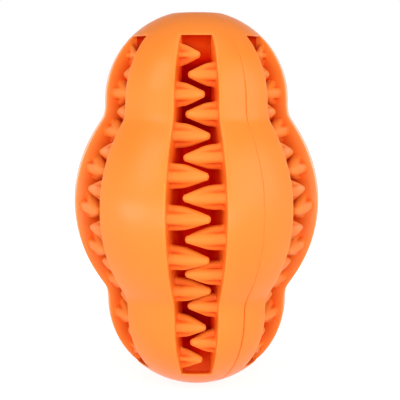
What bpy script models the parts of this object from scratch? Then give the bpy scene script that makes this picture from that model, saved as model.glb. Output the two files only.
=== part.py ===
"""Treat dispensing dog toy: a ribbed rubber body with six toothed treat slots.

Two mirror-image half shells are bonded along one plane through the long axis. Together they
close round a hollow core and carry six ribs, with a straight slot between each pair of ribs.
Each wall of a slot carries a strip of blunt cross-shaped teeth, and the two strips of a slot
mesh with each other. Units are metres. The toy stands on one end, with +Z along its length,
the ground at Z = 0 and one slot facing -Y. Angles round the axis start at -Y and grow to +X.
"""

import math

import bmesh
import bpy
from mathutils import Vector

# Outer form, measured from the middle of the toy
HALF_LENGTH = 0.0565
MIDDLE_RADIUS = 0.0375
WAIST_DEPTH = 0.0093
WAIST_HEIGHT = 0.0258
END_LOBE_DRAW = 0.0004
END_LOBE_RISE = 0.0047
POLE_FLAT_RADIUS = 0.0077

# Slots, their floor and the air space behind it
SLOTS_PER_HALF = 3
SLOT_HALF_ANGLE = math.radians(13.0)
SLOT_DEPTH_AT_WAIST = 0.0105
SLOT_END_DEPTH = 0.0021
CORE_WALL = 0.0045
CAVITY_END_WALL = 0.0080
CAVITY_ROUNDING = 0.0060

# Strips that carry the teeth
STRIP_THICKNESS = 0.0015
STRIP_BORDER = 0.0015
STRIP_EDGE_DEPTH = 0.0009
STRIP_END_MARGIN = 0.0014
STRIP_FLOOR_MARGIN = 0.0004

# Teeth
TOOTH_PITCH = 0.0110
TOOTH_ROW_GAP = 0.0040
TOOTH_RADIAL_SIZE = 0.0066
TOOTH_ARM_SHARE = 0.50
TOOTH_VALLEY_SHARE = 0.54
TOOTH_INSET = 0.00015
TOOTH_KEPT_HEIGHT = 0.7
TOOTH_TIP_GAP = 0.0028
TOOTH_TIP_RADIUS = 0.0013
TOOTH_STRAIGHT_SHARE = 0.34
TOOTH_ROUND_SHARE = 0.92

# Rubber
SHELL_COLOUR = (0.98, 0.29, 0.055)
SHELL_ROUGHNESS = 0.42
TOOTH_COLOUR = (0.98, 0.31, 0.065)
TOOTH_ROUGHNESS = 0.46

# Clearances between pieces
FIT_GAP = 0.0003
SEAM_GAP = 0.0003

# Fineness of the curved faces
MIDDLE_STEPS = 6
DOME_STEPS = 9
TURN_STEPS = 60
FLOOR_STEPS = 4
CAVITY_STEPS = 32
CAVITY_ROUNDING_STEPS = 3
SMOOTH_BELOW = math.radians(35.0)

# How many times past the outer form the cutters reach
CUTTER_REACH = 2.0

# Sizes that follow from the ones above
WAIST_RADIUS = MIDDLE_RADIUS - WAIST_DEPTH
MIDDLE_ARC_RADIUS = (WAIST_HEIGHT**2 + WAIST_DEPTH**2) / (2 * WAIST_DEPTH)
END_LOBE_RADIUS = WAIST_RADIUS - END_LOBE_DRAW
END_LOBE_HEIGHT = WAIST_HEIGHT + END_LOBE_RISE
DOME_CUT = math.sqrt(1 - (POLE_FLAT_RADIUS / END_LOBE_RADIUS) ** 2)
DOME_RISE = (HALF_LENGTH - END_LOBE_HEIGHT) / DOME_CUT
CORE_RADIUS = WAIST_RADIUS - SLOT_DEPTH_AT_WAIST
SLOT_COUNT = 2 * SLOTS_PER_HALF
SLOT_SPACING = 2 * math.pi / SLOT_COUNT
SLOT_END_SHARE = (CORE_RADIUS + SLOT_END_DEPTH) / END_LOBE_RADIUS
SLOT_HALF_LENGTH = END_LOBE_HEIGHT + DOME_RISE * math.sqrt(1 - SLOT_END_SHARE**2)
SEAM_ANGLE = SLOT_SPACING / 2
STRIP_HALF_LENGTH = SLOT_HALF_LENGTH - STRIP_END_MARGIN
STRIP_WIDTH = TOOTH_RADIAL_SIZE + 2 * STRIP_BORDER
TOOTH_HEIGHT = TOOTH_PITCH - TOOTH_ROW_GAP
TOOTH_ROOT = STRIP_THICKNESS / 2
LONG_ROW_COUNT = 2 * int((STRIP_HALF_LENGTH - TOOTH_HEIGHT / 2) / TOOTH_PITCH) + 1
SIDES = ((-1, "left"), (1, "right"))


def clear_scene():
    for old in list(bpy.data.objects):
        bpy.data.objects.remove(old, do_unlink=True)


def rubber(name, colour, roughness):
    material = bpy.data.materials.new(name)
    material.use_nodes = True
    shader = material.node_tree.nodes["Principled BSDF"]
    shader.inputs["Base Color"].default_value = (*colour, 1.0)
    shader.inputs["Roughness"].default_value = roughness
    shader.inputs["Metallic"].default_value = 0.0
    material.diffuse_color = (*colour, 1.0)
    return material


def outer_radius(height):
    """Radius of the outer form at a height above or below the middle: an arc between the
    waists, then a short lobe, then half an ellipse that the flat pole cuts off."""
    height = abs(height)
    if height <= WAIST_HEIGHT:
        return MIDDLE_RADIUS - MIDDLE_ARC_RADIUS + math.sqrt(MIDDLE_ARC_RADIUS**2 - height**2)
    if height <= END_LOBE_HEIGHT:
        back = (END_LOBE_HEIGHT - height) / (END_LOBE_HEIGHT - WAIST_HEIGHT)
        return END_LOBE_RADIUS - (END_LOBE_RADIUS - WAIST_RADIUS) * back**2
    up = min((height - END_LOBE_HEIGHT) / DOME_RISE, DOME_CUT)
    return END_LOBE_RADIUS * math.sqrt(1 - up**2)


def outer_heights():
    """Heights of the rings of the outer form, from the middle to one pole."""
    middle = [WAIST_HEIGHT * step / MIDDLE_STEPS for step in range(MIDDLE_STEPS + 1)]
    last_turn = math.asin(DOME_CUT)
    turns = [last_turn * step / DOME_STEPS for step in range(DOME_STEPS)]
    dome = [END_LOBE_HEIGHT + DOME_RISE * math.sin(turn) for turn in turns]
    return middle + dome + [HALF_LENGTH]


def object_from(mesh_data, name, material, angle=0.0):
    made = bpy.data.objects.new(name, mesh_data)
    bpy.context.scene.collection.objects.link(made)
    made.location = (0.0, 0.0, HALF_LENGTH)
    made.rotation_euler = (0.0, 0.0, angle)
    if material and not mesh_data.materials:
        mesh_data.materials.append(material)
    return made


def finished_mesh(shape, name, smooth=False):
    bmesh.ops.recalc_face_normals(shape, faces=shape.faces)
    mesh = bpy.data.meshes.new(name)
    shape.to_mesh(mesh)
    shape.free()
    if smooth:
        mesh.shade_smooth()
        mesh.set_sharp_from_angle(angle=SMOOTH_BELOW)
    return mesh


def turned_mesh(name, profile, steps):
    """A solid of revolution. The profile runs from one pole to the other, both on the axis."""
    shape = bmesh.new()
    line = [shape.verts.new((0.0, -radius, height)) for radius, height in profile]
    edges = [shape.edges.new(pair) for pair in zip(line, line[1:])]
    bmesh.ops.spin(
        shape,
        geom=line + edges,
        cent=(0.0, 0.0, 0.0),
        axis=(0.0, 0.0, 1.0),
        angle=2 * math.pi,
        steps=steps,
        use_merge=True,
    )
    bmesh.ops.remove_doubles(shape, verts=shape.verts, dist=1e-6)
    bmesh.ops.dissolve_degenerate(shape, edges=shape.edges, dist=1e-7)
    return finished_mesh(shape, name, smooth=True)


def prism_mesh(name, outline, offset):
    """A closed prism: the outline's face, extruded by the offset."""
    shape = bmesh.new()
    face = shape.faces.new([shape.verts.new(point) for point in outline])
    grown = bmesh.ops.extrude_face_region(shape, geom=[face], use_keep_orig=True)
    corners = [item for item in grown["geom"] if isinstance(item, bmesh.types.BMVert)]
    bmesh.ops.translate(shape, verts=corners, vec=offset)
    return finished_mesh(shape, name)


def as_cutter(mesh, angle=0.0):
    cutter = object_from(mesh, mesh.name, None, angle)
    cutter.display_type = "WIRE"
    cutter.hide_render = True
    return cutter


def add_boolean(target, other, operation):
    modifier = target.modifiers.new(f"{operation} {other.name}", "BOOLEAN")
    modifier.operation = operation
    modifier.solver = "EXACT"
    modifier.object = other


def body_mesh():
    """The whole turned outer form, before the seam and the slots are cut."""
    upper = [(outer_radius(height), height) for height in outer_heights()]
    lower = [(radius, -height) for radius, height in reversed(upper[1:])]
    return turned_mesh("body_form", [(0.0, -HALF_LENGTH), *lower, *upper, (0.0, HALF_LENGTH)], TURN_STEPS)


def cavity_mesh():
    """The air space inside the core: a cylinder with rounded ends."""
    radius = CORE_RADIUS - CORE_WALL
    top = HALF_LENGTH - CAVITY_END_WALL
    corner = []
    for step in range(CAVITY_ROUNDING_STEPS + 1):
        turn = math.pi / 2 * step / CAVITY_ROUNDING_STEPS
        out = radius - CAVITY_ROUNDING * (1 - math.cos(turn))
        up = top - CAVITY_ROUNDING * (1 - math.sin(turn))
        corner.append((out, up))
    lower = [(out, -up) for out, up in reversed(corner)]
    return turned_mesh("cavity_cutter", [(0.0, -top), *lower, *corner, (0.0, top)], CAVITY_STEPS)


def slot_mesh():
    """A wedge with its walls on planes through the axis and its floor on the core."""
    def around(angle, radius):
        return Vector((radius * math.sin(angle), -radius * math.cos(angle), -SLOT_HALF_LENGTH))

    turns = [SLOT_HALF_ANGLE * (2 * step / FLOOR_STEPS - 1) for step in range(FLOOR_STEPS + 1)]
    outline = [around(turn, CORE_RADIUS) for turn in turns]
    outline += [around(side * SLOT_HALF_ANGLE, CUTTER_REACH * MIDDLE_RADIUS) for side in (1, -1)]
    return prism_mesh("slot_cutter", outline, (0.0, 0.0, 2 * SLOT_HALF_LENGTH))


def seam_mesh():
    """A box over everything on the far side of the bond line."""
    reach = CUTTER_REACH * HALF_LENGTH
    edge = -SEAM_GAP / 2
    corners = ((-reach, edge), (reach, edge), (reach, reach), (-reach, reach))
    outline = [Vector((x, y, -reach)) for x, y in corners]
    return prism_mesh("seam_cutter", outline, (0.0, 0.0, 2 * reach))


def strip_outline(grow):
    """Points of a tooth strip's outline as (radius, height), grown all round by a clearance."""
    end = STRIP_HALF_LENGTH + grow
    inner_limit = CORE_RADIUS + STRIP_FLOOR_MARGIN + FIT_GAP - grow
    heights = [height for height in outer_heights() if height < end - STRIP_END_MARGIN] + [end]
    heights = [-height for height in reversed(heights[1:])] + heights
    outer = [(outer_radius(height) - STRIP_EDGE_DEPTH - FIT_GAP + grow, height) for height in heights]
    inner = []
    for radius, height in reversed(outer):
        edge = radius - STRIP_WIDTH - 2 * grow
        inner.append((max(edge, inner_limit), height))
    return outer + [point for index, point in enumerate(inner) if not in_straight_run(inner, index)]


def in_straight_run(points, index):
    """True for a point whose two neighbours lie at the same radius, so that it adds no shape."""
    if index in (0, len(points) - 1):
        return False
    before, here, after = (points[index + step][0] for step in (-1, 0, 1))
    return before == here == after


def on_wall(depth, radius, height, side):
    """A point from wall coordinates: depth is out of the wall, into the slot."""
    x = -radius * math.sin(SLOT_HALF_ANGLE) + depth * math.cos(SLOT_HALF_ANGLE)
    y = -radius * math.cos(SLOT_HALF_ANGLE) - depth * math.sin(SLOT_HALF_ANGLE)
    return Vector((-side * x, y, height))


def strip_mesh(name, side, grow=0.0, proud=0.0):
    """The backing of a row of teeth, flush with the wall, or the cutter of its recess."""
    back = -STRIP_THICKNESS - grow
    outline = [on_wall(back, radius, height, side) for radius, height in strip_outline(grow)]
    out = on_wall(proud - back, 0.0, 0.0, side)
    return prism_mesh(name, outline, out)


def tooth_section(radial, tall):
    """Twelve corners of a cross with four equal arms, as (out along the radius, up)."""
    arm = TOOTH_ARM_SHARE
    valley = TOOTH_VALLEY_SHARE
    quarter = [(1.0, -arm), (1.0, arm), (valley, valley)]
    corners = []
    for turn in range(4):
        for out, up in quarter:
            for _ in range(turn):
                out, up = -up, out
            corners.append((out * radial, up * tall))
    return corners


def tooth_place(height):
    """Radius of a tooth's middle, and half its size along the radius and along the height."""
    lowest = outer_radius(abs(height) + TOOTH_ARM_SHARE * TOOTH_HEIGHT / 2)
    outer = lowest - STRIP_EDGE_DEPTH - FIT_GAP - TOOTH_INSET
    inner = CORE_RADIUS + STRIP_FLOOR_MARGIN + FIT_GAP + TOOTH_INSET
    size = min(TOOTH_RADIAL_SIZE, outer - inner)
    squeeze = size / TOOTH_RADIAL_SIZE
    tall = TOOTH_HEIGHT / 2 * (TOOTH_KEPT_HEIGHT + (1 - TOOTH_KEPT_HEIGHT) * squeeze)
    return outer - size / 2, size / 2, tall


def add_tooth(shape, height, side):
    """A tooth square to its wall: a straight cross-shaped root that tapers to a round tip."""
    middle, radial, tall = tooth_place(height)
    length = 2 * middle * math.sin(SLOT_HALF_ANGLE) - TOOTH_TIP_GAP
    full = tooth_section(radial, tall)
    tip = []
    for out, up in full:
        scale = TOOTH_TIP_RADIUS / math.hypot(out, up)
        tip.append((out * scale, up * scale))
    stations = [(-TOOTH_ROOT, full), (TOOTH_STRAIGHT_SHARE * length, full), (TOOTH_ROUND_SHARE * length, tip)]
    rings = []
    for depth, section in stations:
        points = [on_wall(depth, middle + out, height + up, side) for out, up in section]
        rings.append([shape.verts.new(point) for point in points])
    shape.faces.new(rings[0])
    point = shape.verts.new(on_wall(length, middle, height, side))
    for ring, following in zip(rings, rings[1:]):
        for here in range(len(ring)):
            after = (here + 1) % len(ring)
            shape.faces.new((ring[here], ring[after], following[after], following[here]))
    last = rings[-1]
    for here in range(len(last)):
        shape.faces.new((last[here], last[(here + 1) % len(last)], point))


def row_heights(count):
    return [(index - (count - 1) / 2) * TOOTH_PITCH for index in range(count)]


def teeth_mesh(name, count, side):
    shape = bmesh.new()
    for height in row_heights(count):
        add_tooth(shape, height, side)
    return finished_mesh(shape, name, smooth=True)


def make_half(name, body, cutters, material, angle):
    """One half shell: the turned form cut at the seam, hollowed, slotted and recessed."""
    half = object_from(body, name, material, angle)
    for mesh, turn in cutters:
        add_boolean(half, as_cutter(mesh, angle + turn), "DIFFERENCE")
    return half


def make_tooth_row(name, strip, teeth, material, angle):
    """A strip with its teeth, in the slot at this angle."""
    row = object_from(strip, name, material, angle)
    add_boolean(row, as_cutter(teeth, angle), "UNION")
    return row


def main():
    clear_scene()
    shell_rubber = rubber("shell_orange_rubber", SHELL_COLOUR, SHELL_ROUGHNESS)
    tooth_rubber = rubber("tooth_orange_rubber", TOOTH_COLOUR, TOOTH_ROUGHNESS)
    body = body_mesh()
    recesses = [strip_mesh(f"recess_{name}", side, FIT_GAP, STRIP_THICKNESS) for side, name in SIDES]
    slot = slot_mesh()
    cutters = [(seam_mesh(), 0.0), (cavity_mesh(), 0.0)]
    for step in range(SLOTS_PER_HALF):
        turn = (step - (SLOTS_PER_HALF - 1) / 2) * SLOT_SPACING
        cutters.append((slot, turn))
        cutters += [(recess, turn) for recess in recesses]
    half_left_angle = SEAM_ANGLE - math.pi / 2
    make_half("half_shell_left", body, cutters, shell_rubber, half_left_angle)
    make_half("half_shell_right", body, cutters, shell_rubber, half_left_angle + math.pi)

    rows = {}
    for side, side_name in SIDES:
        for count in (LONG_ROW_COUNT, LONG_ROW_COUNT - 1):
            strip = strip_mesh(f"strip_{side_name}_{count}", side)
            teeth = teeth_mesh(f"teeth_{side_name}_{count}", count, side)
            rows[side_name, count] = (strip, teeth)
    for index in range(SLOT_COUNT):
        angle = index * SLOT_SPACING
        in_left_half = math.cos(angle - half_left_angle) > 0
        for _, side_name in SIDES:
            long_row = in_left_half == (side_name == "left")
            strip, teeth = rows[side_name, LONG_ROW_COUNT if long_row else LONG_ROW_COUNT - 1]
            make_tooth_row(f"teeth_slot_{index + 1}_{side_name}", strip, teeth, tooth_rubber, angle)


main()
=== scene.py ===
"""Looks of the treat dispensing dog toy: fine rubber surfaces, stage, light and camera.

The two half shells and the twelve rows of teeth are built as smooth meshes in the frame of the
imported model, and each one stands for the plain solid of the same name. Units are metres. The toy
stands on one end, its long axis on Z, with one slot facing -Y, the side the camera looks at.
"""

import math

import bpy
import numpy as np
from mathutils import Matrix, Vector


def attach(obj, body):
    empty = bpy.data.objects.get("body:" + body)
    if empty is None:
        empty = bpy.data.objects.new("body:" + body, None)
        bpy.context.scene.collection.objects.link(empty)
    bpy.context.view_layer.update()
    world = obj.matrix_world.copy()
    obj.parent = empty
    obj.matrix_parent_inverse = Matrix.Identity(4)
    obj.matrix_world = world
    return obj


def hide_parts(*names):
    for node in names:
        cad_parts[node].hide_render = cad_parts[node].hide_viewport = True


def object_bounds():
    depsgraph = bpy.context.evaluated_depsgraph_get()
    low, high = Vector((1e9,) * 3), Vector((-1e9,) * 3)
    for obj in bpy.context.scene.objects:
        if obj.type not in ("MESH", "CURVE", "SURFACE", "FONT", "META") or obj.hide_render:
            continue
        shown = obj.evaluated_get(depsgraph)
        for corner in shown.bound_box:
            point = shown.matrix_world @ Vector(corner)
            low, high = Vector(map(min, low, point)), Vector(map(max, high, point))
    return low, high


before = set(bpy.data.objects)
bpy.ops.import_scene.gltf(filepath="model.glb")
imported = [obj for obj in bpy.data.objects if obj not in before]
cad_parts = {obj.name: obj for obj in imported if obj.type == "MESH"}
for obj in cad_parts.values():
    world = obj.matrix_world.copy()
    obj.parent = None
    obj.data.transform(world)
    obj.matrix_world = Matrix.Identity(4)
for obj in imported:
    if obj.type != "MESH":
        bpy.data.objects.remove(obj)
cad_low, cad_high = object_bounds()

# Outer form, taken from the frame's box or as in the solids
HALF_LENGTH = (cad_high.z - cad_low.z) / 2
MIDDLE_RADIUS = (cad_high.x - cad_low.x) / 2
WAIST_DEPTH = 0.0093
WAIST_HEIGHT = 0.0258
END_LOBE_DRAW = 0.0004
END_LOBE_RISE = 0.0047
POLE_FLAT_RADIUS = 0.0077
CREASE_ROUNDING = 0.0008
CREASE_FADE_ZONES = 4
LOBE_CURVE_REACH = 4.0

# Slots and the space behind them
SLOT_COUNT = 6
SLOTS_PER_HALF = SLOT_COUNT // 2
SLOT_SPACING = 2 * math.pi / SLOT_COUNT
SLOT_HALF_ANGLE = math.radians(13.0)
SLOT_DEPTH_AT_WAIST = 0.0105
SLOT_END_DEPTH = 0.0021
CORE_WALL = 0.0045
CAVITY_END_WALL = 0.0080
CAVITY_SQUARENESS = 8.0
RIM_ROUNDING = 0.00045
FLOOR_ROUNDING = 0.0009

# Parting line between the halves
SEAM_HALF_GAP = 0.00005
SEAM_GROOVE_HALF_WIDTH = 0.00028
SEAM_TRIMMED_DEPTH = 0.00006
SEAM_UPPER_DEPTH = 0.00024
SEAM_LOWER_DEPTH = 0.00075
SEAM_BORDER_WIDTH = 2.2 * SEAM_GROOVE_HALF_WIDTH
SEAM_WANDER_SHARE = 0.15
SEAM_WANDER_WAVES = ((310.0, 0.6), (127.0, 1.9))
SEAM_DEEP_BELOW = (-0.0180, -0.0300)
SEAM_DEEP_FROM = (0.0245, 0.0265)
SEAM_DEEP_TO = (0.0330, 0.0400)

# Teeth
TOOTH_PITCH = 0.0110
TOOTH_HEIGHT = 0.0071
TOOTH_RADIAL_SIZE = 0.0068
TOOTH_EDGE_DEPTH = 0.0011
TOOTH_EDGE_SAMPLE = 0.25
TOOTH_FLOOR_MARGIN = 0.0007
TOOTH_ARM_HALF_WIDTH = 0.00185
TOOTH_ARM_SQUARENESS = 3.6
TOOTH_VALLEY_ROUNDING = 0.00012
TOOTH_VALLEY_CROWDING = 0.12
TOOTH_TIP_RADIUS = 0.00122
TOOTH_TAPER_BASE = 0.0016
TOOTH_TAPER_SHARE = 0.40
TOOTH_SHOULDER_ROUNDING = 0.0007
TOOTH_ROOT_DEPTH = 0.0007
TOOTH_ROOT_LEAN = 0.5
TOOTH_KEPT_HEIGHT = 0.85
TOOTH_FLARE = 0.00035
TOOTH_FLARE_LENGTH = 0.0009
GROOVE_FADE = (0.12, 0.72)
TOOTH_ROUND_FROM_TO = (0.5, 0.95)
TOOTH_TIP_FROM_TO = (0.55, 1.0)

# Gap at each tooth's tip and how far the tip sits above its even place, from the lowest tooth up
LONG_ROW_TIP_GAPS = (0.0026, 0.0022, 0.0013, 0.0031, 0.0032, 0.0033, 0.0016, 0.0026, 0.0033)
LONG_ROW_LIFTS = (-0.0004, -0.0008, -0.0002, -0.0012, -0.0003, 0.0001, -0.0003, 0.0001, 0.0)
SHORT_ROW_TIP_GAPS = (0.0028, 0.0025, 0.0030, 0.0039, 0.0033, 0.0026, 0.0020, 0.0023)
SHORT_ROW_LIFTS = (-0.0002, 0.0003, 0.0, -0.0005, -0.0001, -0.0005, 0.0001, 0.0)

# Colours of the rubber, and the painted red shade that darkens it in the slots, in the hollow and on the
# teeth: 0 in the open, 1 at a slot's bottom
SHELL_ORANGE = (0.95, 0.236, 0.023)
SHELL_PALE = (0.96, 0.30, 0.045)
TOOTH_ORANGE = (0.95, 0.228, 0.025)
TOOTH_PALE = (0.96, 0.285, 0.050)
SHADED_RED = (0.90, 0.077, 0.0045)
PAINTED_DEEP_RED_SHADE = (0.88, 0.013, 0.001)
PAINTED_DARKEST_SHADE = (0.42, 0.001, 0.001)
SHELL_SPECULAR = 0.33
TOOTH_SPECULAR = 0.20
WALL_PAINTED_SHADE_REACH = 0.0145
FLOOR_PAINTED_SHADE_AT_END = 0.50
FLOOR_PAINTED_SHADE_REACH = (0.0040, 0.0095)
LOBE_SHADE = 0.50
LOBE_SHADE_FROM = (0.0180, 0.0290)
LOBE_SHADE_TO = (0.0390, 0.0470)
# Painted shade on the teeth: under them, on their sides towards the slot's floor, in their grooves and at
# their roots, with less of it at the tips
UNDERSIDE_PAINTED_SHADE = 0.13
INNER_SIDE_PAINTED_SHADE = 0.28
VALLEY_PAINTED_SHADE = 0.24
ROOT_PAINTED_SHADE = 0.08
TIP_LIGHTENING = 0.6

# Darkening by shade alone: 0 for none, 1 for black
END_SHADE = 0.28
END_SHADE_FROM = (0.0390, 0.0440)
# Painted shadow on the floor under a slot's upper end
UPPER_EDGE_SHADE = 0.12
UPPER_EDGE_PAINTED_RED_SHADE = 0.35
UPPER_EDGE_SHADE_LENGTH = 0.0035
VALLEY_SHADE = 0.24
VALLEY_SHADE_ABOVE = 0.06

# Texture of the rubber, with noise scales per metre
SHELL_ROUGHNESS = 0.31
TOOTH_ROUGHNESS = 0.44
ROUGHNESS_SPREAD = (-0.05, 0.07)
GRAIN_HEIGHT = 0.00003
GRAIN_SCALE = 2600.0
GRAIN_STRENGTH = 0.5
GRAIN_DETAIL = 2.0
RIPPLE_SCALE = 160.0
RIPPLE_HEIGHT = 0.00009
RIPPLE_STRENGTH = 0.25
RIPPLE_DETAIL = 2.0
MOTTLING_SCALE = 45.0
MOTTLING_DETAIL = 3.0
MOTTLING_NOISE = (0.35, 0.65)
MOTTLING_SHARE = 0.16
# Share of the pale colour on the rims and tooth tips, painted as wear and as a highlight
WEAR_AND_HIGHLIGHT_SHARE = 0.3
# Ranges of painted red shade over which the colour turns to the shaded, deep and darkest reds, and where the
# gloss is gone
SHADED_FROM_TO = (0.0, 0.5)
DEEP_FROM_TO = (0.45, 1.0)
DARKEST_FROM_TO = (1.0, 1.35)
MATTE_BY_PAINTED_SHADE = 0.6
BLACK = (0.0, 0.0, 0.0)

# Fineness of the meshes
MIDDLE_ROWS = 22
CREASE_ROWS = 12
CREASE_ZONE = 0.0018
LOBE_ROWS = 4
DOME_WINDOW_ROWS = 16
DOME_END_ROWS = 16
POLE_RINGS = 4
RIB_COLUMNS = 14
HALF_RIB_COLUMNS = 7
FLOOR_COLUMNS = 10
RIM_STEPS = 5
WALL_STEPS = 8
FLOOR_STEPS = 5
CAVITY_COLUMNS = 24
TOOTH_SIDES = 48
TOOTH_RINGS = 18
TOOTH_CAP_RINGS = 6
EASED_SHARE = 0.45
MOST_NARROW_ANGLE = math.radians(4.0)
SEAM_COLUMN_TURN = math.radians(1.0)

# Sizes that follow
WAIST_RADIUS = MIDDLE_RADIUS - WAIST_DEPTH
MIDDLE_ARC_RADIUS = (WAIST_HEIGHT**2 + WAIST_DEPTH**2) / (2 * WAIST_DEPTH)
END_LOBE_RADIUS = WAIST_RADIUS - END_LOBE_DRAW
END_LOBE_HEIGHT = WAIST_HEIGHT + END_LOBE_RISE
DOME_CUT = math.sqrt(1 - (POLE_FLAT_RADIUS / END_LOBE_RADIUS) ** 2)
DOME_RISE = (HALF_LENGTH - END_LOBE_HEIGHT) / DOME_CUT
CORE_RADIUS = WAIST_RADIUS - SLOT_DEPTH_AT_WAIST
SLOT_END_SHARE = (CORE_RADIUS + SLOT_END_DEPTH) / END_LOBE_RADIUS
SLOT_HALF_LENGTH = END_LOBE_HEIGHT + DOME_RISE * math.sqrt(1 - SLOT_END_SHARE**2)
CENTRE = Vector((0.0, 0.0, cad_low.z + HALF_LENGTH))
FIRST_HALF_ANGLE = SLOT_SPACING / 2 - math.pi / 2

# Floor, with its glow near the toy and far off, and the studio, which darkens overhead
FLOOR_HALF_SIZE = 3.0
FLOOR_WHITE = (0.86, 0.86, 0.86, 1.0)
FLOOR_ROUGHNESS = 0.9
GLOW_COLOUR = (1.0, 1.0, 1.0, 1.0)
GLOW_SHARE = 0.65
FLOOR_GLOW_DISTANCES = (0.15, 0.70)
FLOOR_GLOW = (1.33, 1.60)
OVERHEAD_FROM_TO = (0.12, 0.60)
OVERHEAD_SHARE = 0.30
STUDIO_STRENGTH = 0.60

# Soft boxes: azimuth from the camera's side and elevation, in degrees, then distance, width, height
# and power
SOFT_BOXES = {
    "key": (-49.5, 32.0, 0.7, 0.25, 0.44, 1.05),
    "right": (54.0, 20.0, 0.9, 0.84, 0.70, 3.4),
    "top": (0.0, 68.0, 0.8, 0.60, 0.60, 1.8),
    "front": (0.0, 12.0, 0.9, 0.50, 0.50, 0.5),
    "low": (0.0, -7.0, 0.3, 0.40, 0.035, 0.32),
    "low left": (-55.0, -5.0, 0.4, 0.20, 0.04, 0.23),
    "back left": (-135.0, 10.0, 1.0, 0.70, 0.50, 1.4),
    "back right": (135.0, 10.0, 1.0, 0.70, 0.50, 1.4),
}

# Camera, from the photograph's outline
CAMERA_DISTANCE = 0.2659
CAMERA_ELEVATION = math.radians(8.54)
CAMERA_FOCAL_PIXELS = 855.6
IMAGE_PIXELS = 400
SENSOR_WIDTH = 36.0
OBJECT_PIXEL = (196.5, 199.5)
NEAREST_SEEN = 0.01
FARTHEST_SEEN = 20.0


def smooth_max(a, b, width):
    """The larger of two values, with the corner between them rounded."""
    return (a + b + np.sqrt((a - b) ** 2 + width**2)) / 2


def smooth_min(a, b, width):
    return -smooth_max(-a, -b, width)


def smooth_step(low, high, value):
    share = np.clip((value - low) / (high - low), 0.0, 1.0)
    return share * share * (3 - 2 * share)


def outer_radius(height):
    """Radius of the outer form at heights above or below the middle."""
    height = np.abs(np.asarray(height, float))
    arc = MIDDLE_RADIUS - MIDDLE_ARC_RADIUS
    arc = arc + np.sqrt(np.maximum(MIDDLE_ARC_RADIUS**2 - height**2, 0.0))
    back = (END_LOBE_HEIGHT - height) / (END_LOBE_HEIGHT - WAIST_HEIGHT)
    lobe = END_LOBE_RADIUS - (END_LOBE_RADIUS - WAIST_RADIUS) * np.clip(back, 0.0, LOBE_CURVE_REACH) ** 2
    off_waist = np.abs(height - WAIST_HEIGHT)
    rounding = CREASE_ROUNDING * (1 - smooth_step(0.0, CREASE_FADE_ZONES * CREASE_ZONE, off_waist))
    waisted = smooth_max(arc, lobe, rounding)
    up = np.clip((height - END_LOBE_HEIGHT) / DOME_RISE, 0.0, DOME_CUT)
    dome = END_LOBE_RADIUS * np.sqrt(1 - up**2)
    return np.where(height <= END_LOBE_HEIGHT, waisted, dome)


def outer_rows():
    """Rings of the outer form as (radius, height), and the first and last ring of the slots."""
    end = SLOT_HALF_LENGTH + RIM_ROUNDING
    turn = math.asin((end - END_LOBE_HEIGHT) / DOME_RISE)
    middle = np.linspace(0.0, WAIST_HEIGHT - CREASE_ZONE, MIDDLE_ROWS + 1)
    crease = np.linspace(WAIST_HEIGHT - CREASE_ZONE, WAIST_HEIGHT + CREASE_ZONE, CREASE_ROWS + 1)
    lobe = np.linspace(WAIST_HEIGHT + CREASE_ZONE, END_LOBE_HEIGHT, LOBE_ROWS + 1)
    window = END_LOBE_HEIGHT + DOME_RISE * np.sin(np.linspace(0.0, turn, DOME_WINDOW_ROWS + 1))
    beyond = END_LOBE_HEIGHT + DOME_RISE * np.sin(np.linspace(turn, math.asin(DOME_CUT), DOME_END_ROWS + 1))
    upper = np.concatenate([middle[1:], crease[1:], lobe[1:], window[1:]])
    heights = np.concatenate([upper, beyond[1:]])
    rows = [(float(outer_radius(height)), float(height)) for height in heights]
    rows += [(POLE_FLAT_RADIUS * ring / POLE_RINGS, HALF_LENGTH) for ring in range(POLE_RINGS - 1, 0, -1)]
    lower = [(radius, -height) for radius, height in reversed(rows)]
    whole = lower + [(float(outer_radius(0.0)), 0.0)] + rows
    middle_row = len(lower)
    return whole, middle_row - len(upper), middle_row + len(upper)


def narrow_angle(width, radius, most=MOST_NARROW_ANGLE):
    """Angle that a small width takes at a radius, kept small near the poles."""
    return math.asin(min(width / radius, math.sin(most)))


def eased(start, end, steps):
    """Positions from start to end, closer together at both ends, without the start."""
    share = np.linspace(0.0, 1.0, steps + 1)[1:]
    curved = (1 - np.cos(math.pi * share)) / 2
    return start + (end - start) * ((1 - EASED_SHARE) * share + EASED_SHARE * curved)


def outer_columns(radius):
    """Angles of one ring's points over a half shell, with each slot's first and last column."""
    quarter = math.pi / 2
    widths = (SEAM_HALF_GAP, SEAM_GROOVE_HALF_WIDTH / 2, SEAM_GROOVE_HALF_WIDTH, SEAM_BORDER_WIDTH)
    seam = [narrow_angle(width, radius, MOST_NARROW_ANGLE + index * SEAM_COLUMN_TURN)
            for index, width in enumerate(widths)]
    edge = SLOT_HALF_ANGLE + narrow_angle(RIM_ROUNDING, radius)
    angles = [-quarter + turn for turn in seam]
    windows = []
    centres = [(index - (SLOTS_PER_HALF - 1) / 2) * SLOT_SPACING for index in range(SLOTS_PER_HALF)]
    for centre in centres:
        steps = HALF_RIB_COLUMNS if centre == centres[0] else RIB_COLUMNS
        angles += list(eased(angles[-1], centre - edge, steps))
        windows.append((len(angles) - 1, len(angles) - 1 + FLOOR_COLUMNS, centre))
        angles += list(np.linspace(centre - edge, centre + edge, FLOOR_COLUMNS + 1)[1:])
    angles += list(eased(angles[-1], quarter - seam[-1], HALF_RIB_COLUMNS))
    angles += [quarter - turn for turn in reversed(seam[:-1])]
    return np.array(angles), windows


def around(radius, angle, height):
    """Points from angle round the axis, which starts at -Y."""
    return np.stack(np.broadcast_arrays(radius * np.sin(angle), -radius * np.cos(angle), height), axis=-1)


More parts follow.
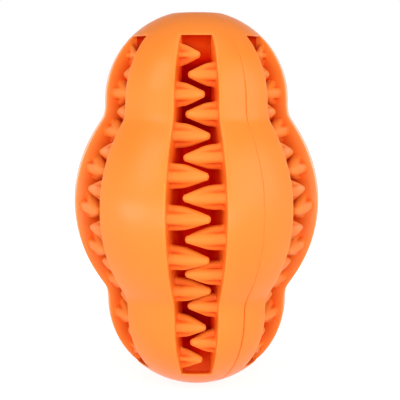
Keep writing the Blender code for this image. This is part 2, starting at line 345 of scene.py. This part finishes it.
class Builder:
    """Points and faces of one mesh, with the share of edge wear and painted highlight, of painted red shade
    and of painted dark shade at each point.
    """

    def __init__(self):
        self.points = []
        self.faces = []
        self.wear_and_highlight = []
        self.painted_red_shade = []
        self.shade = []

    def add(self, points, wear_and_highlight=0.0, painted_red_shade=0.0, shade=0.0):
        points = np.asarray(points, float).reshape(-1, 3)
        first = len(self.points)
        self.points += [tuple(point) for point in points]
        for values, value in ((self.wear_and_highlight, wear_and_highlight), (self.painted_red_shade, painted_red_shade), (self.shade, shade)):
            values += list(np.broadcast_to(np.asarray(value, float).ravel(), len(points)))
        return np.arange(first, first + len(points))

    def strip(self, below, above, closed=False):
        """Quads between two lines of points."""
        count = len(below) if closed else len(below) - 1
        for here in range(count):
            after = (here + 1) % len(below)
            self.faces.append((below[here], below[after], above[after], above[here]))

    def fan(self, ring, point, closed=False, turned=False):
        count = len(ring) if closed else len(ring) - 1
        for here in range(count):
            face = (ring[here], ring[(here + 1) % len(ring)], point)
            self.faces.append(face[::-1] if turned else face)

    def finish(self, name, angle):
        mesh = bpy.data.meshes.new(name)
        used = sorted({int(corner) for face in self.faces for corner in face})
        number = {corner: index for index, corner in enumerate(used)}
        faces = [tuple(number[int(corner)] for corner in face) for face in self.faces]
        mesh.from_pydata([self.points[corner] for corner in used], [], faces)
        for label, values in (("wear_and_highlight", self.wear_and_highlight), ("painted_red_shade", self.painted_red_shade), ("shade", self.shade)):
            layer = mesh.attributes.new(label, "FLOAT", "POINT")
            layer.data.foreach_set("value", np.array([values[corner] for corner in used], np.float32))
        mesh.validate()
        mesh.shade_smooth()
        mesh.transform(Matrix.Translation(CENTRE) @ Matrix.Rotation(angle, 4, "Z"))
        made = bpy.data.objects.new(name, mesh)
        bpy.context.scene.collection.objects.link(made)
        return made


def seam_depth(height, columns):
    """Depth of the parting line's groove at each column, deepest low down and above the waist."""
    (first_wave, first_shift), (second_wave, second_shift) = SEAM_WANDER_WAVES
    waves = math.sin(height * first_wave + first_shift) * math.sin(height * second_wave + second_shift)
    wander = (1 - SEAM_WANDER_SHARE) + SEAM_WANDER_SHARE * waves
    low = 1 - smooth_step(*reversed(SEAM_DEEP_BELOW), height)
    high = smooth_step(*SEAM_DEEP_FROM, height) * (1 - smooth_step(*SEAM_DEEP_TO, height))
    upper = (SEAM_UPPER_DEPTH - SEAM_TRIMMED_DEPTH) * high
    lower = (SEAM_LOWER_DEPTH - SEAM_TRIMMED_DEPTH) * low
    sunk = SEAM_TRIMMED_DEPTH + float(upper + lower)
    depth = np.zeros(columns)
    for index, share in enumerate((1.0, 0.5, 0.0)):
        depth[index] = share
        depth[-1 - index] = share
    return sunk * wander * depth


def pocket_levels():
    """Steps from a slot's rim to its floor: (offset from the wall plane, kind, value, edge wear and painted
    highlight).
    """
    levels = []
    for step in range(1, RIM_STEPS + 1):
        turn = math.pi / 2 * step / RIM_STEPS
        levels.append((RIM_ROUNDING * (1 - math.sin(turn)), "rim", RIM_ROUNDING * (1 - math.cos(turn)),
                       1 - step / RIM_STEPS))
    for share in eased(0.0, 1.0, WALL_STEPS):
        levels.append((0.0, "wall", share, 0.0))
    for step in range(1, FLOOR_STEPS + 1):
        turn = math.pi / 2 * step / FLOOR_STEPS
        offset = -FLOOR_ROUNDING * (1 - math.cos(turn))
        levels.append((offset, "floor", FLOOR_ROUNDING * (1 - math.sin(turn)), 0.0))
    return levels


def pocket_points(level, across, heights, centre):
    """Points of one level. Across runs from -1 to 1 over the slot's width."""
    offset, kind, value, _ = level
    end = SLOT_HALF_LENGTH + RIM_ROUNDING
    shrink = (RIM_ROUNDING - offset) * smooth_step(END_LOBE_HEIGHT, end, np.abs(heights))
    heights = heights - np.sign(heights) * shrink
    outside = outer_radius(heights)
    if kind == "rim":
        radius = outside - value
    elif kind == "wall":
        top = outside - RIM_ROUNDING
        radius = top + (CORE_RADIUS + FLOOR_ROUNDING - top) * value
    else:
        radius = np.full_like(outside, CORE_RADIUS + value)
    angle = centre + across * (SLOT_HALF_ANGLE + offset / radius)
    depth = outside - radius
    # Painted red shade that grows with the depth below the outer form
    painted_red_shade = np.clip(depth / WALL_PAINTED_SHADE_REACH, 0.0, 1.0)
    shade = np.zeros_like(painted_red_shade)
    # On the floor the painted red shade rises from the slot's ends inwards, with painted dark shade at both
    # ends and a painted shadow under the upper end's edge
    if kind == "floor":
        reached = smooth_step(*FLOOR_PAINTED_SHADE_REACH, depth)
        painted_red_shade = np.maximum(painted_red_shade, FLOOR_PAINTED_SHADE_AT_END + (1 - FLOOR_PAINTED_SHADE_AT_END) * reached)
        edge = smooth_step(SLOT_HALF_LENGTH - UPPER_EDGE_SHADE_LENGTH, SLOT_HALF_LENGTH, heights)
        shade = END_SHADE * smooth_step(*END_SHADE_FROM, np.abs(heights)) + UPPER_EDGE_SHADE * edge
        painted_red_shade = painted_red_shade + UPPER_EDGE_PAINTED_RED_SHADE * edge
    return around(radius, angle, heights), painted_red_shade * lobe_shade(np.abs(heights)), shade


def lobe_shade(height):
    """Painted shade is stronger in the end lobes' slots, which are as deep as the middle's but narrower."""
    return 1 + LOBE_SHADE * smooth_step(*LOBE_SHADE_FROM, height) * (1 - smooth_step(*LOBE_SHADE_TO, height))


def add_pocket(shape, grid, rows, first_row, last_row, window):
    """One slot, from its opening in the outer form to its floor."""
    first, last, centre = window
    heights = np.array([rows[row][1] for row in range(first_row, last_row + 1)])
    across = np.linspace(-1.0, 1.0, last - first + 1)
    up = np.arange(len(heights))
    over = np.arange(len(across))
    border = [(0, column) for column in over]
    border += [(row, over[-1]) for row in up[1:]]
    border += [(up[-1], column) for column in over[-2::-1]]
    border += [(row, 0) for row in up[-2:0:-1]]
    ring = [grid[first_row + row][first + column] for row, column in border]
    border_heights = np.array([heights[row] for row, _ in border])
    border_across = np.array([across[column] for _, column in border])
    for level in pocket_levels():
        points, painted_red_shade, shade = pocket_points(level, border_across, border_heights, centre)
        following = shape.add(points, level[3], painted_red_shade, shade)
        shape.strip(ring, following, closed=True)
        ring = following
    floor = {place: index for place, index in zip(border, ring)}
    last_level = pocket_levels()[-1]
    for row in up[1:-1]:
        level_heights = np.full(len(across) - 2, heights[row])
        points, painted_red_shade, shade = pocket_points(last_level, across[1:-1], level_heights, centre)
        for column, index in zip(over[1:-1], shape.add(points, 0.0, painted_red_shade, shade)):
            floor[row, column] = index
    for row in up[:-1]:
        for column in over[:-1]:
            corners = ((row, column), (row, column + 1), (row + 1, column + 1), (row + 1, column))
            shape.faces.append(tuple(floor[corner] for corner in corners))


def cavity_point(radius, height):
    """The point of the air space that lies in the same direction from the middle."""
    turn = math.atan2(height, radius)
    wide = CORE_RADIUS - CORE_WALL
    tall = HALF_LENGTH - CAVITY_END_WALL
    across = (abs(math.cos(turn)) / wide) ** CAVITY_SQUARENESS
    upward = (abs(math.sin(turn)) / tall) ** CAVITY_SQUARENESS
    reach = (across + upward) ** (-1 / CAVITY_SQUARENESS)
    return reach * math.cos(turn), reach * math.sin(turn)


def half_shell(name, angle, material):
    """One moulded half: ribs, slots, domed ends, the bonded faces and half of the air space."""
    shape = Builder()
    rows, first_row, last_row = outer_rows()
    grid = []
    windows = []
    for radius, height in rows:
        angles, windows = outer_columns(radius)
        depth = seam_depth(height, len(angles))
        grid.append(shape.add(around(radius - depth, angles, height)))
    inside = set()
    for first, last, _ in windows:
        inside.update((row, column) for row in range(first_row, last_row) for column in range(first, last))
    for row in range(len(rows) - 1):
        for column in range(len(grid[0]) - 1):
            if (row, column) not in inside:
                below = grid[row]
                above = grid[row + 1]
                shape.faces.append((below[column], below[column + 1], above[column + 1], above[column]))
    for window in windows:
        add_pocket(shape, grid, rows, first_row, last_row, window)

    turns = np.linspace(-math.pi / 2, math.pi / 2, CAVITY_COLUMNS + 1)
    lining = []
    for radius, height in rows:
        inner_radius, inner_height = cavity_point(radius, height)
        points = around(inner_radius, turns, inner_height)
        points[:, 1] = np.minimum(points[:, 1], -SEAM_HALF_GAP)
        # The hollow's lining is painted in full red shade
        lining.append(shape.add(points, 0.0, 1.0))
    for below, above in zip(lining, lining[1:]):
        shape.strip(above, below)
    for side in (0, -1):
        outer_line = [line[side] for line in grid]
        inner_line = [line[side] for line in lining]
        if side == 0:
            shape.strip(outer_line, inner_line)
        else:
            shape.strip(inner_line, outer_line)
    cavity_top = HALF_LENGTH - CAVITY_END_WALL
    for end, ring, inner_ring, turned in ((-1, grid[0], lining[0], True), (1, grid[-1], lining[-1], False)):
        pole, inner_pole = shape.add([(0.0, -SEAM_HALF_GAP, end * HALF_LENGTH),
                                      (0.0, -SEAM_HALF_GAP, end * cavity_top)])
        shape.fan(ring, pole, turned=turned)
        shape.fan(inner_ring, inner_pole, turned=not turned)
        for side in (0, -1):
            face = (ring[side], pole, inner_pole, inner_ring[side])
            shape.faces.append(face if (side == 0) == (end == 1) else face[::-1])
    made = shape.finish(name, angle)
    made.data.materials.append(material)
    return made


def wall_frame(side):
    """Directions out along a wall, out of the wall into the slot, and up, for the slot at -Y."""
    along = Vector((side * math.sin(SLOT_HALF_ANGLE), -math.cos(SLOT_HALF_ANGLE), 0.0))
    out = Vector((-side * math.cos(SLOT_HALF_ANGLE), -math.sin(SLOT_HALF_ANGLE), 0.0))
    return np.array(along), np.array(out), np.array((0.0, 0.0, 1.0))


def tooth_place(height):
    """Radius of a tooth's middle, and half its size along the wall and along the height."""
    lowest = float(outer_radius(abs(height) + TOOTH_EDGE_SAMPLE * TOOTH_HEIGHT))
    outer = lowest - TOOTH_EDGE_DEPTH
    inner = CORE_RADIUS + TOOTH_FLOOR_MARGIN
    size = min(TOOTH_RADIAL_SIZE, outer - inner)
    squeeze = size / TOOTH_RADIAL_SIZE
    tall = TOOTH_HEIGHT / 2 * (TOOTH_KEPT_HEIGHT + (1 - TOOTH_KEPT_HEIGHT) * squeeze)
    return outer - size / 2, size / 2, tall


def cross_radius(turns, wide, tall):
    """Reach of a cross with four rounded arms, in each direction."""
    def arm(first, second):
        power = TOOTH_ARM_SQUARENESS
        reach = np.abs(np.cos(turns) / first) ** power + np.abs(np.sin(turns) / second) ** power
        return reach ** (-1 / power)

    narrow = TOOTH_ARM_HALF_WIDTH * min(wide, tall) / (TOOTH_HEIGHT / 2)
    return smooth_max(arm(wide, narrow), arm(narrow, tall), TOOTH_VALLEY_ROUNDING)


def ellipse_radius(turns, wide, tall):
    return 1 / np.sqrt((np.cos(turns) / wide) ** 2 + (np.sin(turns) / tall) ** 2)


def tooth_stations(length, reach):
    """Distances along a tooth with its reach there, from inside the wall to the tip's cap."""
    drop = reach - TOOTH_TIP_RADIUS
    incline = math.atan(drop / (TOOTH_TAPER_BASE + TOOTH_TAPER_SHARE * length))
    cap_start = length - TOOTH_TIP_RADIUS * (1 - math.sin(incline))
    cap_size = TOOTH_TIP_RADIUS * math.cos(incline)
    stations = []
    for share in np.linspace(0.0, 1.0, TOOTH_RINGS + 1):
        along = -TOOTH_ROOT_DEPTH + share * (cap_start + TOOTH_ROOT_DEPTH)
        taper = cap_size + (cap_start - along) * math.tan(incline)
        size = float(smooth_min(np.float64(reach), np.float64(taper), TOOTH_SHOULDER_ROUNDING))
        flare = max(0.0, 1 - max(along, 0.0) / TOOTH_FLARE_LENGTH)
        stations.append((along, size + TOOTH_FLARE * flare**2))
    for ring in range(1, TOOTH_CAP_RINGS):
        turn = incline + (math.pi / 2 - incline) * ring / TOOTH_CAP_RINGS
        along = length - TOOTH_TIP_RADIUS * (1 - math.sin(turn))
        stations.append((along, TOOTH_TIP_RADIUS * math.cos(turn)))
    return stations


def add_tooth(shape, height, side, tip_gap, lift):
    """A blunt tooth square to its wall, cross-shaped at the root and round at the tip."""
    middle, wide, tall = tooth_place(height)
    length = 2 * middle * math.sin(SLOT_HALF_ANGLE) - tip_gap
    turns = np.arange(TOOTH_SIDES) * 2 * math.pi / TOOTH_SIDES
    turns = turns + TOOTH_VALLEY_CROWDING * np.sin(4 * turns)
    along_wall, out, up = wall_frame(side)
    reach = max(wide, tall)
    cross = cross_radius(turns, wide, tall) / reach
    ellipse = ellipse_radius(turns, wide, tall) / reach
    root_place = along_wall * middle + up * (height + lift * TOOTH_ROOT_LEAN)
    bend = up * lift * (1 - TOOTH_ROOT_LEAN)
    # Painted shade: under the tooth, on its side towards the slot's floor, and in its grooves
    underside = np.maximum(-np.sin(turns), 0.0)
    inner_side = np.maximum(-np.cos(turns), 0.0)
    shaded = UNDERSIDE_PAINTED_SHADE * underside + INNER_SIDE_PAINTED_SHADE * inner_side
    valley = np.maximum(1 - cross / ellipse, 0.0)
    valley = (valley / valley.max()) ** 2
    valley_shade = valley * np.where(np.sin(turns) < 0, VALLEY_SHADE, VALLEY_SHADE_ABOVE)
    stations = tooth_stations(length, reach)
    ring = None
    for distance, size in stations:
        fade = float(smooth_step(*GROOVE_FADE, distance / length))
        round_share = float(smooth_step(*TOOTH_ROUND_FROM_TO, distance / length))
        section = (1 - fade) * cross + fade * ellipse
        section = section * (1 - round_share) + round_share
        radii = size * section
        sideways = np.outer(radii * np.cos(turns), along_wall)
        upward = np.outer(radii * np.sin(turns), up)
        place = root_place + out * distance + bend * max(distance / length, 0.0)
        # Less painted shade towards the tip, which is painted paler as wear and as a highlight; the grooves'
        # painted shade fades with them
        tip_share = float(smooth_step(*TOOTH_TIP_FROM_TO, distance / length))
        tip_light = 1 - TIP_LIGHTENING * tip_share
        painted_red_shade = shaded * tip_light + (ROOT_PAINTED_SHADE + VALLEY_PAINTED_SHADE * valley) * (1 - fade)
        following = shape.add(place + sideways + upward, tip_share, painted_red_shade, valley_shade * (1 - fade))
        if ring is None:
            first_ring = following
        elif side < 0:
            shape.strip(following, ring, closed=True)
        else:
            shape.strip(ring, following, closed=True)
        ring = following
    tip = shape.add([root_place + out * length + bend], 1.0)[0]
    root = shape.add([root_place + out * stations[0][0]])[0]
    shape.fan(ring, tip, closed=True, turned=side < 0)
    shape.fan(first_ring, root, closed=True, turned=side > 0)


def tooth_row(name, tip_gaps, lifts, side, angle, material):
    shape = Builder()
    for index, (tip_gap, lift) in enumerate(zip(tip_gaps, lifts)):
        add_tooth(shape, (index - (len(lifts) - 1) / 2) * TOOTH_PITCH, side, tip_gap, lift)
    made = shape.finish(name, angle)
    made.data.materials.append(material)
    return made


def add_node(tree, kind, **settings):
    made = tree.nodes.new(kind)
    for name, value in settings.items():
        setattr(made, name, value)
    return made


def mixed(tree, first, second, factor):
    """Mix of two colours. Each is a socket or a plain colour."""
    mix = add_node(tree, "ShaderNodeMix", data_type="RGBA")
    for name, colour in (("A", first), ("B", second)):
        if isinstance(colour, tuple):
            mix.inputs[name].default_value = (*colour, 1.0)
        else:
            tree.links.new(colour, mix.inputs[name])
    tree.links.new(factor, mix.inputs["Factor"])
    return mix.outputs["Result"]


def ranged(tree, value, source, target):
    """A value carried over from one range to another."""
    remap = add_node(tree, "ShaderNodeMapRange")
    remap.inputs["From Min"].default_value, remap.inputs["From Max"].default_value = source
    remap.inputs["To Min"].default_value, remap.inputs["To Max"].default_value = target
    tree.links.new(value, remap.inputs["Value"])
    return remap.outputs["Result"]


def noise(tree, place, scale, detail):
    texture = add_node(tree, "ShaderNodeTexNoise")
    texture.inputs["Scale"].default_value = scale
    texture.inputs["Detail"].default_value = detail
    tree.links.new(place, texture.inputs["Vector"])
    return texture.outputs["Fac"]


def bumped(tree, height, distance, strength, normal=None):
    bump = add_node(tree, "ShaderNodeBump")
    bump.inputs["Strength"].default_value = strength
    bump.inputs["Distance"].default_value = distance
    tree.links.new(height, bump.inputs["Height"])
    if normal:
        tree.links.new(normal, bump.inputs["Normal"])
    return bump.outputs["Normal"]


def rubber_material(name, colour, pale, roughness, specular):
    """Matte moulded rubber: faint mottling, fine grain, edges and tips painted paler as wear and highlight,
    painted shade redder in the depths.
    """
    material = bpy.data.materials.new(name)
    material.use_nodes = True
    tree = material.node_tree
    shader = tree.nodes["Principled BSDF"]
    link = tree.links.new
    place = add_node(tree, "ShaderNodeTexCoord").outputs["Object"]
    wear_and_highlight = add_node(tree, "ShaderNodeAttribute", attribute_name="wear_and_highlight").outputs["Fac"]
    painted_red_shade = add_node(tree, "ShaderNodeAttribute", attribute_name="painted_red_shade").outputs["Fac"]
    shade = add_node(tree, "ShaderNodeAttribute", attribute_name="shade").outputs["Fac"]

    patches = noise(tree, place, MOTTLING_SCALE, MOTTLING_DETAIL)
    mottling = ranged(tree, patches, MOTTLING_NOISE, (0.0, MOTTLING_SHARE))
    mottled = mixed(tree, colour, pale, mottling)
    # Edges and tips painted paler, as wear and as a highlight
    edged = mixed(tree, mottled, pale, ranged(tree, wear_and_highlight, (0.0, 1.0), (0.0, WEAR_AND_HIGHLIGHT_SHARE)))
    # Painted shade: the painted red shade goes through the shaded, deep and darkest reds, and the shade
    # attribute darkens towards black
    shaded = mixed(tree, edged, SHADED_RED, ranged(tree, painted_red_shade, SHADED_FROM_TO, (0.0, 1.0)))
    sunk = mixed(tree, shaded, PAINTED_DEEP_RED_SHADE, ranged(tree, painted_red_shade, DEEP_FROM_TO, (0.0, 1.0)))
    darkest = mixed(tree, sunk, PAINTED_DARKEST_SHADE, ranged(tree, painted_red_shade, DARKEST_FROM_TO, (0.0, 1.0)))
    link(mixed(tree, darkest, BLACK, shade), shader.inputs["Base Color"])

    ripple = noise(tree, place, RIPPLE_SCALE, RIPPLE_DETAIL)
    grain = noise(tree, place, GRAIN_SCALE, GRAIN_DETAIL)
    fine = bumped(tree, grain, GRAIN_HEIGHT, GRAIN_STRENGTH)
    link(bumped(tree, ripple, RIPPLE_HEIGHT, RIPPLE_STRENGTH, fine), shader.inputs["Normal"])
    rough_from_to = tuple(roughness + spread for spread in ROUGHNESS_SPREAD)
    link(ranged(tree, ripple, (0.0, 1.0), rough_from_to), shader.inputs["Roughness"])
    # Less gloss where the painted red shade is deep
    gloss = ranged(tree, painted_red_shade, (0.0, MATTE_BY_PAINTED_SHADE), (specular, 0.0))
    link(gloss, shader.inputs["Specular IOR Level"])
    return material


def seen_directly(tree):
    """A value of 1 for camera, mirror and see-through rays, and 0 for rays that carry light."""
    path = add_node(tree, "ShaderNodeLightPath")
    first = add_node(tree, "ShaderNodeMath", operation="MAXIMUM")
    tree.links.new(path.outputs["Is Camera Ray"], first.inputs[0])
    tree.links.new(path.outputs["Is Glossy Ray"], first.inputs[1])
    second = add_node(tree, "ShaderNodeMath", operation="MAXIMUM")
    tree.links.new(first.outputs["Value"], second.inputs[0])
    tree.links.new(path.outputs["Is Transmission Ray"], second.inputs[1])
    return second.outputs["Value"]


def make_world(strength):
    """A white studio that darkens overhead."""
    world = bpy.data.worlds.new("studio")
    bpy.context.scene.world = world
    world.use_nodes = True
    tree = world.node_tree
    background = tree.nodes["Background"]
    direction = add_node(tree, "ShaderNodeTexCoord").outputs["Generated"]
    parts = add_node(tree, "ShaderNodeSeparateXYZ")
    tree.links.new(direction, parts.inputs["Vector"])
    overhead = ranged(tree, parts.outputs["Z"], OVERHEAD_FROM_TO, (1.0, OVERHEAD_SHARE))
    tree.links.new(overhead, background.inputs["Color"])
    level = ranged(tree, seen_directly(tree), (0.0, 1.0), (strength, 1.0))
    tree.links.new(level, background.inputs["Strength"])


def make_floor():
    """A pale floor. Seen directly it is near white, more so far off, and still shows the toy's shadow."""
    mesh = bpy.data.meshes.new("floor")
    ways = ((-1, -1), (1, -1), (1, 1), (-1, 1))
    corners = [(x * FLOOR_HALF_SIZE, y * FLOOR_HALF_SIZE, 0.0) for x, y in ways]
    mesh.from_pydata(corners, [], [(0, 1, 2, 3)])
    floor = bpy.data.objects.new("floor", mesh)
    bpy.context.scene.collection.objects.link(floor)
    material = bpy.data.materials.new("pale_floor")
    material.use_nodes = True
    tree = material.node_tree
    shader = tree.nodes["Principled BSDF"]
    shader.inputs["Base Color"].default_value = FLOOR_WHITE
    shader.inputs["Roughness"].default_value = FLOOR_ROUGHNESS
    shader.inputs["Specular IOR Level"].default_value = 0.0
    glow = add_node(tree, "ShaderNodeEmission")
    glow.inputs["Color"].default_value = GLOW_COLOUR
    place = add_node(tree, "ShaderNodeTexCoord").outputs["Object"]
    distance = add_node(tree, "ShaderNodeVectorMath", operation="LENGTH")
    tree.links.new(place, distance.inputs[0])
    strength = ranged(tree, distance.outputs["Value"], FLOOR_GLOW_DISTANCES, FLOOR_GLOW)
    tree.links.new(strength, glow.inputs["Strength"])
    share = add_node(tree, "ShaderNodeMath", operation="MULTIPLY")
    share.inputs[1].default_value = GLOW_SHARE
    tree.links.new(seen_directly(tree), share.inputs[0])
    mix = add_node(tree, "ShaderNodeMixShader")
    tree.links.new(share.outputs["Value"], mix.inputs["Fac"])
    tree.links.new(shader.outputs["BSDF"], mix.inputs[1])
    tree.links.new(glow.outputs["Emission"], mix.inputs[2])
    tree.links.new(mix.outputs["Shader"], tree.nodes["Material Output"].inputs["Surface"])
    mesh.materials.append(material)


def add_softbox(name, azimuth, elevation, distance, width, height, power):
    """An area light aimed at the middle of the toy. Azimuth 0 is the camera's side."""
    lamp = bpy.data.lights.new(name, "AREA")
    lamp.shape = "RECTANGLE"
    lamp.size = width
    lamp.size_y = height
    lamp.energy = power
    made = bpy.data.objects.new(name, lamp)
    bpy.context.scene.collection.objects.link(made)
    turn = math.radians(azimuth)
    lift = math.radians(elevation)
    flat = math.cos(lift)
    aim = Vector((math.sin(turn) * flat, -math.cos(turn) * flat, math.sin(lift)))
    made.location = CENTRE + aim * distance
    made.rotation_mode = "QUATERNION"
    made.rotation_quaternion = (-aim).to_track_quat("-Z", "Y")


def make_camera():
    """The camera stands where the photograph's perspective puts it."""
    data = bpy.data.cameras.new("camera")
    camera = bpy.data.objects.new("camera", data)
    bpy.context.scene.collection.objects.link(camera)
    data.sensor_width = SENSOR_WIDTH
    data.lens = CAMERA_FOCAL_PIXELS / IMAGE_PIXELS * SENSOR_WIDTH
    data.shift_x = (IMAGE_PIXELS / 2 - OBJECT_PIXEL[0]) / IMAGE_PIXELS
    data.shift_y = (OBJECT_PIXEL[1] - IMAGE_PIXELS / 2) / IMAGE_PIXELS
    data.clip_start = NEAREST_SEEN
    data.clip_end = FARTHEST_SEEN
    back = Vector((0.0, -math.cos(CAMERA_ELEVATION), math.sin(CAMERA_ELEVATION)))
    camera.location = CENTRE + back * CAMERA_DISTANCE
    camera.rotation_mode = "QUATERNION"
    camera.rotation_quaternion = (-back).to_track_quat("-Z", "Y")
    bpy.context.scene.camera = camera


def make_toy():
    shell_rubber = rubber_material("shell_orange_rubber", SHELL_ORANGE, SHELL_PALE,
                                   SHELL_ROUGHNESS, SHELL_SPECULAR)
    tooth_rubber = rubber_material("tooth_orange_rubber", TOOTH_ORANGE, TOOTH_PALE,
                                   TOOTH_ROUGHNESS, TOOTH_SPECULAR)
    for name, angle in (("left", FIRST_HALF_ANGLE), ("right", FIRST_HALF_ANGLE + math.pi)):
        shell = half_shell(f"fine_half_shell_{name}", angle, shell_rubber)
        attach(shell, "root")
        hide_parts(f"half_shell_{name}")
    for index in range(SLOT_COUNT):
        angle = index * SLOT_SPACING
        in_left_half = math.cos(angle - FIRST_HALF_ANGLE) > 0
        for side, side_name in ((-1, "left"), (1, "right")):
            long_row = in_left_half == (side_name == "left")
            tip_gaps = LONG_ROW_TIP_GAPS if long_row else SHORT_ROW_TIP_GAPS
            lifts = LONG_ROW_LIFTS if long_row else SHORT_ROW_LIFTS
            name = f"fine_teeth_{index + 1}_{side_name}"
            row = tooth_row(name, tip_gaps, lifts, side, angle, tooth_rubber)
            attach(row, "root")
            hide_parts(f"teeth_slot_{index + 1}_{side_name}")


make_toy()
make_floor()
make_world(STUDIO_STRENGTH)
for lamp_name, lamp_values in SOFT_BOXES.items():
    add_softbox(lamp_name, *lamp_values)
make_camera()
bpy.context.scene.view_settings.view_transform = "Standard"
